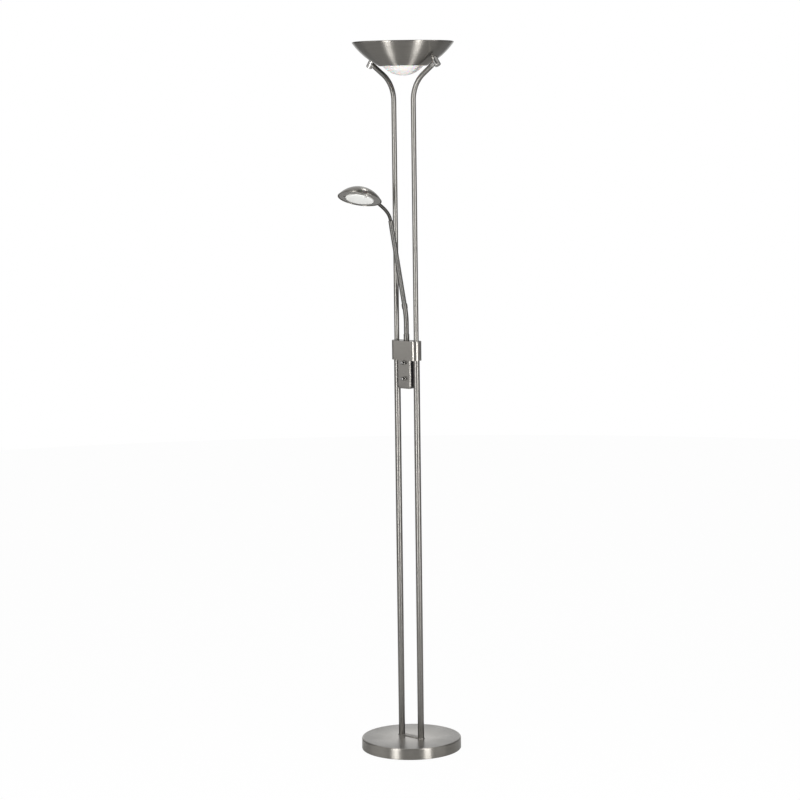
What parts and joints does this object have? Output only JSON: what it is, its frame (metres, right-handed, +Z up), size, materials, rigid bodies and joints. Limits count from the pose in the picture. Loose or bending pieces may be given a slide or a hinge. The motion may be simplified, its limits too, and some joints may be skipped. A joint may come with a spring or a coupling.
{
  "type": "torchiere floor lamp with reading light",
  "caption": "Floor lamp with a round base, paired poles, an uplighter bowl with a glass below it, dimmer knobs under a collar, and a reading light on a flexible arm.",
  "frame": {"origin": "middle of the base's underside, on the floor", "axes": "+Z up; the two poles stand on the X axis; the dimmer knobs face -Y and the reading light reaches out to -Y"},
  "size_m": [0.255, 0.3117, 1.8],
  "materials": {
    "satin_nickel": "satin nickel plate, brushed round its axis",
    "bright_nickel": "bright nickel plate, smooth",
    "hose_nickel": "nickel-plated wound hose, fine ribs",
    "zinc_steel": "zinc-plated steel",
    "cast_iron": "raw casting, hidden in the base",
    "black_plastic": "fine moulded grain",
    "felt": "pressed felt",
    "opal_glass": "opal glass, satin outside",
    "frosted_glass": "frosted glass disc",
    "lamp_glass": "quartz glass",
    "ceramic": "white steatite"
  },
  "bodies": {
    "stand": {"base_cover": "satin_nickel", "bowl_shell": "satin_nickel", "collar_shell": "satin_nickel", "switch_cover": "satin_nickel", "collar_top_cap": "satin_nickel", "foot_plate": "satin_nickel", "left_lower_pole": "bright_nickel", "right_lower_pole": "bright_nickel", "left_upper_pole": "bright_nickel", "right_upper_pole": "bright_nickel", "pole_connectors": "bright_nickel", "bowl_barrels": "bright_nickel", "bowl_pins": "bright_nickel", "dimmer_ring_nuts": "bright_nickel", "arm_base_ferrule": "bright_nickel", "arm_lower_tube": "bright_nickel", "arm_lower_ferrule": "bright_nickel", "pole_nipples": "zinc_steel", "base_washers": "zinc_steel", "base_nuts": "zinc_steel", "pole_plugs": "zinc_steel", "pole_couplers": "zinc_steel", "bowl_nuts": "zinc_steel", "lamp_bracket": "zinc_steel", "collar_grub_screws": "zinc_steel", "housing_screws": "zinc_steel", "box_screws": "zinc_steel", "arm_stem": "zinc_steel", "arm_nut": "zinc_steel", "base_weight": "cast_iron", "cord_bushing": "black_plastic", "switch_housing": "black_plastic", "collar_bottom_cap": "black_plastic", "dimmers": "black_plastic", "base_pad": "felt", "bowl_glass": "opal_glass", "tube_lamp": "lamp_glass", "lampholders": "ceramic"},
    "upper_knob": {"upper_shaft": "zinc_steel", "upper_knob": "bright_nickel"},
    "lower_knob": {"lower_shaft": "zinc_steel", "lower_knob": "bright_nickel"},
    "hose_1": {"hose_link_1": "hose_nickel"},
    "hose_2": {"hose_link_2": "hose_nickel"},
    "hose_3": {"hose_link_3": "hose_nickel"},
    "hose_4": {"hose_link_4": "hose_nickel"},
    "hose_5": {"hose_link_5": "hose_nickel"},
    "hose_6": {"hose_link_6": "hose_nickel"},
    "hose_7": {"hose_link_7": "hose_nickel"},
    "reading_head": {"arm_upper_ferrule": "bright_nickel", "arm_upper_tube": "bright_nickel", "head_shade": "satin_nickel", "head_bezel": "satin_nickel", "head_glass": "frosted_glass", "glass_clips": "bright_nickel", "head_lampholder": "ceramic", "head_set_screw": "zinc_steel", "head_lamp": "lamp_glass"}
  },
  "joints": [
    {"name": "upper_knob_turn", "type": "hinge", "parent": "stand", "child": "upper_knob", "pos_m": [0, -0.0118, 0.9976], "axis": [0, 1, 0], "range_deg": [0, 270]},
    {"name": "lower_knob_turn", "type": "hinge", "parent": "stand", "child": "lower_knob", "pos_m": [0, -0.0118, 0.9574], "axis": [0, 1, 0], "range_deg": [0, 270]},
    {"name": "hose_bend_1", "type": "hinge", "parent": "stand", "child": "hose_1", "pos_m": [-0.00162, -0.00604, 1.1503], "axis": [0.9659, -0.2588, 0], "range_deg": [-2, 15]},
    {"name": "hose_sway_1", "type": "hinge", "parent": "hose_1", "child": "hose_2", "pos_m": [-0.00292, -0.0109, 1.17825], "axis": [0.2547, 0.9507, 0.1771], "range_deg": [-4, 12]},
    {"name": "hose_bend_2", "type": "hinge", "parent": "hose_2", "child": "hose_3", "pos_m": [-0.00422, -0.01576, 1.2062], "axis": [0.9659, -0.2588, 0], "range_deg": [-2, 15]},
    {"name": "hose_sway_2", "type": "hinge", "parent": "hose_3", "child": "hose_4", "pos_m": [-0.00552, -0.02062, 1.23415], "axis": [0.2547, 0.9507, 0.1771], "range_deg": [-4, 12]},
    {"name": "hose_bend_3", "type": "hinge", "parent": "hose_4", "child": "hose_5", "pos_m": [-0.00683, -0.02547, 1.2621], "axis": [0.9659, -0.2588, 0], "range_deg": [-2, 15]},
    {"name": "hose_sway_3", "type": "hinge", "parent": "hose_5", "child": "hose_6", "pos_m": [-0.00813, -0.03033, 1.29006], "axis": [0.2547, 0.9507, 0.1771], "range_deg": [-4, 12]},
    {"name": "hose_bend_4", "type": "hinge", "parent": "hose_6", "child": "hose_7", "pos_m": [-0.00943, -0.03519, 1.31801], "axis": [0.9659, -0.2588, 0], "range_deg": [-2, 15]},
    {"name": "hose_sway_4", "type": "hinge", "parent": "hose_7", "child": "reading_head", "pos_m": [-0.01073, -0.04005, 1.34596], "axis": [0.2547, 0.9507, 0.1771], "range_deg": [-4, 12]}
  ],
  "couplings": [
    {"joint": "hose_bend_2", "follows": "hose_bend_1", "ratio": 1},
    {"joint": "hose_sway_2", "follows": "hose_sway_1", "ratio": 1},
    {"joint": "hose_bend_3", "follows": "hose_bend_1", "ratio": 1},
    {"joint": "hose_sway_3", "follows": "hose_sway_1", "ratio": 1},
    {"joint": "hose_bend_4", "follows": "hose_bend_1", "ratio": 1},
    {"joint": "hose_sway_4", "follows": "hose_sway_1", "ratio": 1}
  ]
}
